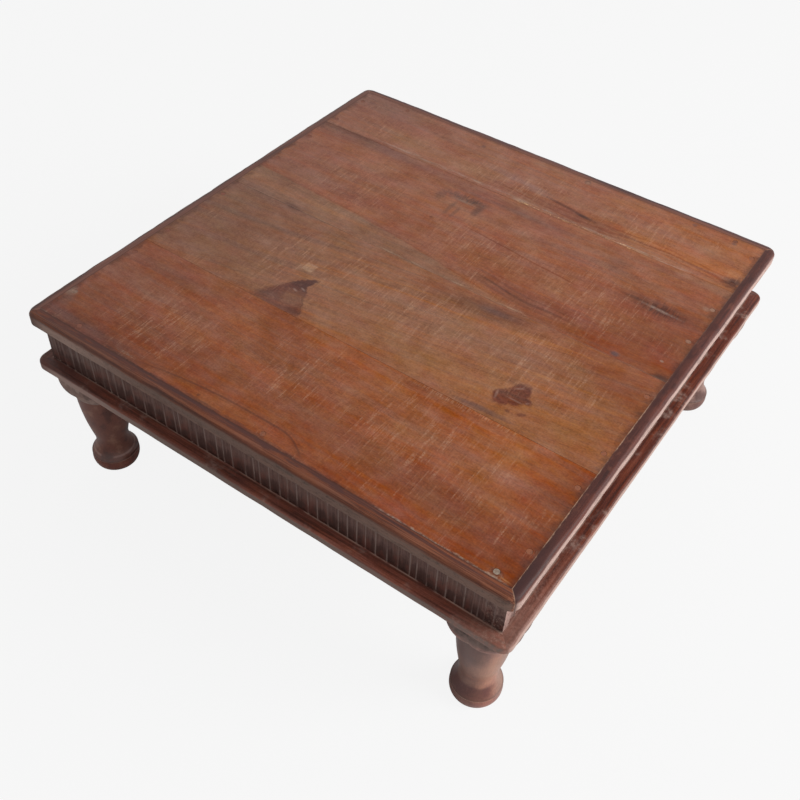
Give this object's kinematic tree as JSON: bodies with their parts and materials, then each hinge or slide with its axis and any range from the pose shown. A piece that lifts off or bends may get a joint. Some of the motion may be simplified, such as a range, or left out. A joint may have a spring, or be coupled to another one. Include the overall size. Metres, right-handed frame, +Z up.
{
  "type": "bajot low table",
  "caption": "Square low wooden table: boarded top with rounded edge strips, fluted frieze, projecting base frame, and short turned legs under lobed capitals.",
  "frame": {"origin": "centre of the bounding box's bottom face, on the floor between the four legs", "axes": "+Z up; the front side faces -Y and the right side +X; the top boards run along X"},
  "size_m": [0.605, 0.611, 0.24],
  "materials": {
    "top_boards": "old reddish hardwood, oiled and rubbed to a dull sheen",
    "edge_strips": "dark stained hardwood, edges rounded and worn",
    "frieze": "dark stained hardwood, gouged flutes with paler ridges",
    "base_frame": "dark red hardwood, dusty",
    "capitals": "turned and cut hardwood, worn",
    "legs": "turned hardwood, polished by use",
    "inner_timber": "unfinished hardwood",
    "nails": "old cut nails, dull gray"
  },
  "bodies": {
    "root": {"top_board_back": "top_boards", "top_board_mid_back": "top_boards", "top_board_mid_front": "top_boards", "top_board_front": "top_boards", "edge_strip_front": "edge_strips", "edge_strip_right": "edge_strips", "edge_strip_back": "edge_strips", "edge_strip_left": "edge_strips", "frieze_front": "frieze", "frieze_right": "frieze", "frieze_back": "frieze", "frieze_left": "frieze", "base_board_front": "base_frame", "base_board_right": "base_frame", "base_board_back": "base_frame", "base_board_left": "base_frame", "capital_front_left": "capitals", "capital_front_right": "capitals", "capital_back_right": "capitals", "capital_back_left": "capitals", "leg_front_left": "legs", "leg_front_right": "legs", "leg_back_right": "legs", "leg_back_left": "legs", "corner_post_front_left": "inner_timber", "corner_post_front_right": "inner_timber", "corner_post_back_right": "inner_timber", "corner_post_back_left": "inner_timber", "batten_left": "inner_timber", "batten_right": "inner_timber", "top_nails": "nails", "base_nails": "nails"}
  },
  "joints": []
}
